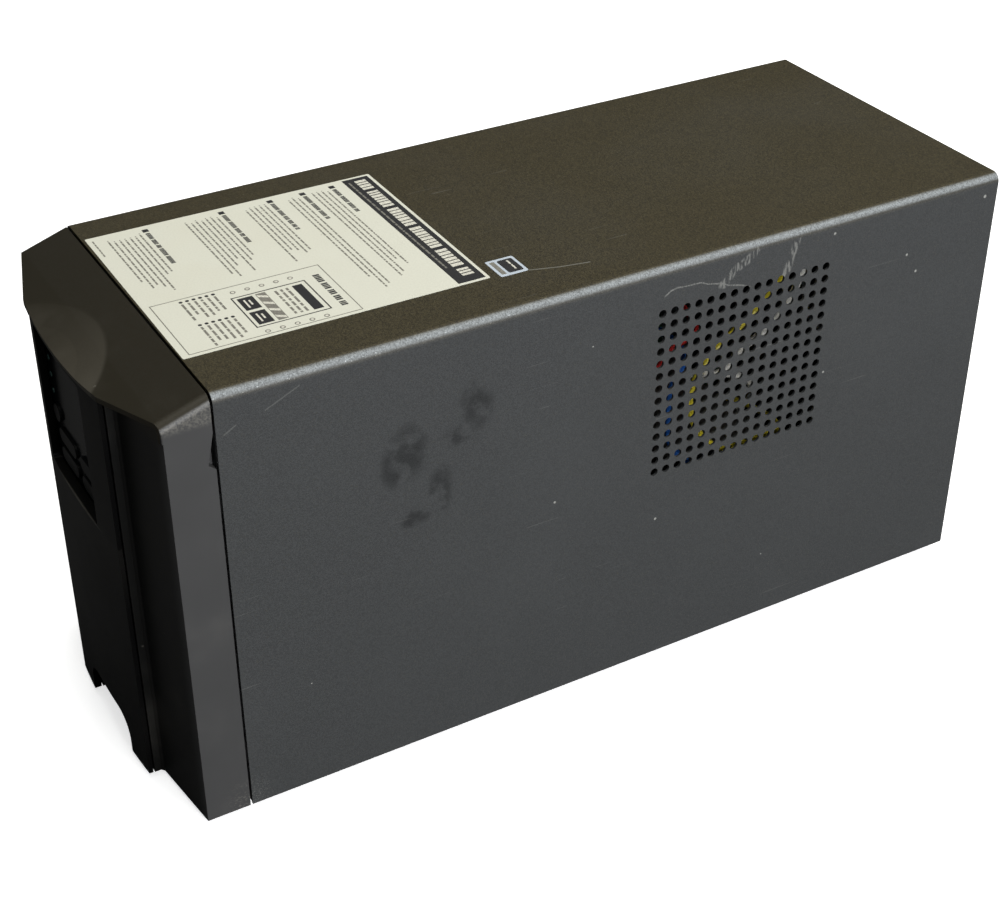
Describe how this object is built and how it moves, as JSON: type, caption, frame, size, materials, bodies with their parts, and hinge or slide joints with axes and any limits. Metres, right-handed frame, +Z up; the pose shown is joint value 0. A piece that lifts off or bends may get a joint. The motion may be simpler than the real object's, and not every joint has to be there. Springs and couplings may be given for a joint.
{
  "type": "uninterruptible power supply",
  "caption": "Dark steel tower power supply with a sloping black bezel, display column, side vents, pull-out battery pack, transformer, cooling fan and rear outlets.",
  "frame": {"origin": "on the floor under the middle of the footprint", "axes": "+X across the body to the right seen from the front, +Y from the bezel to the rear panel, +Z up"},
  "size_m": [0.171, 0.439, 0.2192],
  "materials": {
    "cover_paint": "fine-textured dark powder coat",
    "panel_paint": "dark painted sheet steel",
    "chassis_steel": "zinc-plated sheet steel",
    "screw_steel": "bright zinc-plated steel",
    "foot_rubber": "matt black rubber",
    "bezel_plastic": "smooth satin black plastic",
    "fascia_plastic": "dark semi-gloss plastic",
    "lens_plastic": "smoked clear plastic",
    "screen_glass": "dark blue-grey liquid crystal",
    "board_laminate": "green board laminate",
    "light_pipe": "clear greenish plastic",
    "key_rubber": "dark grey keys",
    "connector_plastic": "grey connector plastic",
    "battery_plastic": "dark battery case plastic",
    "battery_lead_metal": "dull grey lead plates",
    "contact_brass": "plain brass",
    "strap_fabric": "woven black webbing",
    "lamination_steel": "varnished laminations",
    "winding_copper": "varnished copper winding",
    "heatsink_alloy": "plain extruded aluminium",
    "component_black": "black moulded packages",
    "capacitor_sleeve": "dark blue sleeved aluminium cans",
    "socket_plastic": "black outlet plastic",
    "port_shell": "plated steel shell",
    "wire_yellow_pvc": "yellow insulation",
    "wire_white_pvc": "white insulation",
    "wire_blue_pvc": "blue insulation",
    "wire_red_pvc": "red insulation",
    "label_paper": "cream printed sticker",
    "badge_paper": "pale blue-white sticker"
  },
  "bodies": {
    "chassis": {"base_chassis": "chassis_steel", "battery_partition": "chassis_steel", "rear_panel": "panel_paint", "outer_cover": "cover_paint", "rubber_feet": "foot_rubber", "display_socket": "connector_plastic", "battery_socket": "connector_plastic", "transformer_core": "lamination_steel", "transformer_coil": "winding_copper", "transformer_bracket": "chassis_steel", "transformer_bolts": "screw_steel", "main_board": "board_laminate", "board_standoffs": "screw_steel", "heatsinks": "heatsink_alloy", "power_transistors": "component_black", "relays": "component_black", "capacitors": "capacitor_sleeve", "fan_frame": "bezel_plastic", "fan_guard": "screw_steel", "outlet_bank_upper": "socket_plastic", "outlet_bank_lower": "socket_plastic", "outlet_contacts": "contact_brass", "power_inlet": "socket_plastic", "inlet_pins": "contact_brass", "breaker_body": "socket_plastic", "slot_cover": "panel_paint", "rear_screws": "screw_steel", "usb_port": "port_shell", "network_port": "socket_plastic", "wire_yellow": "wire_yellow_pvc", "wire_white": "wire_white_pvc", "wire_blue": "wire_blue_pvc", "wire_red": "wire_red_pvc", "top_label": "label_paper", "badge_label": "badge_paper"},
    "bezel": {"front_bezel": "bezel_plastic", "centre_fascia": "fascia_plastic", "display_housing": "bezel_plastic", "display_lens": "lens_plastic", "lcd_panel": "screen_glass", "display_board": "board_laminate", "status_light_pipes": "light_pipe", "display_plug": "connector_plastic"},
    "battery_door": {"battery_door": "chassis_steel", "door_thumb_screws": "screw_steel"},
    "battery_pack": {"battery_case_left": "battery_plastic", "battery_case_right": "battery_plastic", "battery_plates": "battery_lead_metal", "battery_terminals": "contact_brass", "battery_leads": "wire_red_pvc", "battery_plug": "connector_plastic", "battery_pull_strap": "strap_fabric"},
    "fan_rotor": {"fan_rotor": "bezel_plastic"},
    "breaker_reset_button": {"breaker_reset_button": "connector_plastic"},
    "power_button": {"power_button": "key_rubber"},
    "up_key": {"up_key": "key_rubber"},
    "down_key": {"down_key": "key_rubber"},
    "escape_key": {"escape_key": "key_rubber"},
    "enter_key": {"enter_key": "key_rubber"}
  },
  "joints": [
    {"name": "bezel_pull", "type": "slide", "parent": "chassis", "child": "bezel", "axis": [0, -1, 0], "range_m": [0, 0.26]},
    {"name": "door_pull", "type": "slide", "parent": "chassis", "child": "battery_door", "axis": [0, -1, 0], "range_m": [0, 0.221]},
    {"name": "battery_pull", "type": "slide", "parent": "chassis", "child": "battery_pack", "axis": [0, -1, 0], "range_m": [0, 0.195]},
    {"name": "fan_spin", "type": "hinge", "parent": "chassis", "child": "fan_rotor", "pos_m": [0.036, 0.205, 0.166], "axis": [0, 1, 0], "continuous": true},
    {"name": "reset_press", "type": "slide", "parent": "chassis", "child": "breaker_reset_button", "axis": [0, -1, 0], "range_m": [0, 0.0015], "stiffness_N_per_m": 600, "springref_m": -0.001},
    {"name": "power_press", "type": "slide", "parent": "bezel", "child": "power_button", "axis": [0, 1, 0], "range_m": [0, 0.0008], "stiffness_N_per_m": 400, "springref_m": -0.001},
    {"name": "up_press", "type": "slide", "parent": "bezel", "child": "up_key", "axis": [0, 1, 0], "range_m": [0, 0.0008], "stiffness_N_per_m": 400, "springref_m": -0.001},
    {"name": "down_press", "type": "slide", "parent": "bezel", "child": "down_key", "axis": [0, 1, 0], "range_m": [0, 0.0008], "stiffness_N_per_m": 400, "springref_m": -0.001},
    {"name": "escape_press", "type": "slide", "parent": "bezel", "child": "escape_key", "axis": [0, 1, 0], "range_m": [0, 0.0008], "stiffness_N_per_m": 400, "springref_m": -0.001},
    {"name": "enter_press", "type": "slide", "parent": "bezel", "child": "enter_key", "axis": [0, 1, 0], "range_m": [0, 0.0008], "stiffness_N_per_m": 400, "springref_m": -0.001}
  ],
  "couplings": [
    {"joint": "door_pull", "follows": "bezel_pull", "ratio": 0.85},
    {"joint": "battery_pull", "follows": "bezel_pull", "ratio": 0.75}
  ]
}
